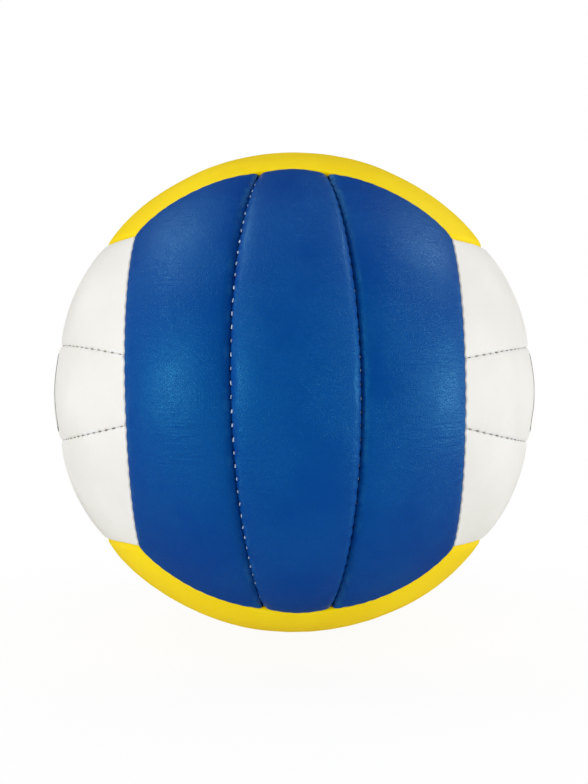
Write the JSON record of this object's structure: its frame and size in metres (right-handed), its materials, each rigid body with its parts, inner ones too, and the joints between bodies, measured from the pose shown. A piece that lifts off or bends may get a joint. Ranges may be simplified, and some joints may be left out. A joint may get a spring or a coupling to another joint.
{
  "type": "volleyball",
  "caption": "Sewn volleyball with padded leather strips in blue, white and yellow over a rubber bladder with a needle valve.",
  "frame": {"origin": "centre of the ball", "axes": "+Z out through the valve, which sits in the middle of the top face; the face seen in the picture looks along -Y, and its strips run along Z"},
  "size_m": [0.212, 0.212, 0.2119],
  "materials": {
    "leather_blue": "satin",
    "leather_white": "satin",
    "leather_yellow": "satin",
    "foam": "matte",
    "backing_cloth": "matte",
    "thread": "matte",
    "bladder_rubber": "matte",
    "stem_rubber": "matte",
    "plug_rubber": "matte"
  },
  "bodies": {
    "root": {"front_left_cover": "leather_blue", "front_middle_cover": "leather_blue", "front_right_cover": "leather_blue", "back_left_cover": "leather_blue", "back_middle_cover": "leather_blue", "back_right_cover": "leather_blue", "left_upper_cover": "leather_white", "left_middle_cover": "leather_white", "left_lower_cover": "leather_white", "right_upper_cover": "leather_white", "right_middle_cover": "leather_white", "right_lower_cover": "leather_white", "top_front_cover": "leather_yellow", "top_middle_cover": "leather_yellow", "top_back_cover": "leather_yellow", "bottom_front_cover": "leather_yellow", "bottom_middle_cover": "leather_yellow", "bottom_back_cover": "leather_yellow", "front_left_foam": "foam", "front_middle_foam": "foam", "front_right_foam": "foam", "back_left_foam": "foam", "back_middle_foam": "foam", "back_right_foam": "foam", "left_upper_foam": "foam", "left_middle_foam": "foam", "left_lower_foam": "foam", "right_upper_foam": "foam", "right_middle_foam": "foam", "right_lower_foam": "foam", "top_front_foam": "foam", "top_middle_foam": "foam", "top_back_foam": "foam", "bottom_front_foam": "foam", "bottom_middle_foam": "foam", "bottom_back_foam": "foam", "front_left_cloth": "backing_cloth", "front_middle_cloth": "backing_cloth", "front_right_cloth": "backing_cloth", "back_left_cloth": "backing_cloth", "back_middle_cloth": "backing_cloth", "back_right_cloth": "backing_cloth", "left_upper_cloth": "backing_cloth", "left_middle_cloth": "backing_cloth", "left_lower_cloth": "backing_cloth", "right_upper_cloth": "backing_cloth", "right_middle_cloth": "backing_cloth", "right_lower_cloth": "backing_cloth", "top_front_cloth": "backing_cloth", "top_middle_cloth": "backing_cloth", "top_back_cloth": "backing_cloth", "bottom_front_cloth": "backing_cloth", "bottom_middle_cloth": "backing_cloth", "bottom_back_cloth": "backing_cloth", "thread": "thread", "bladder": "bladder_rubber", "valve_patch": "bladder_rubber", "valve_stem": "stem_rubber", "valve_plug": "plug_rubber"}
  },
  "joints": []
}
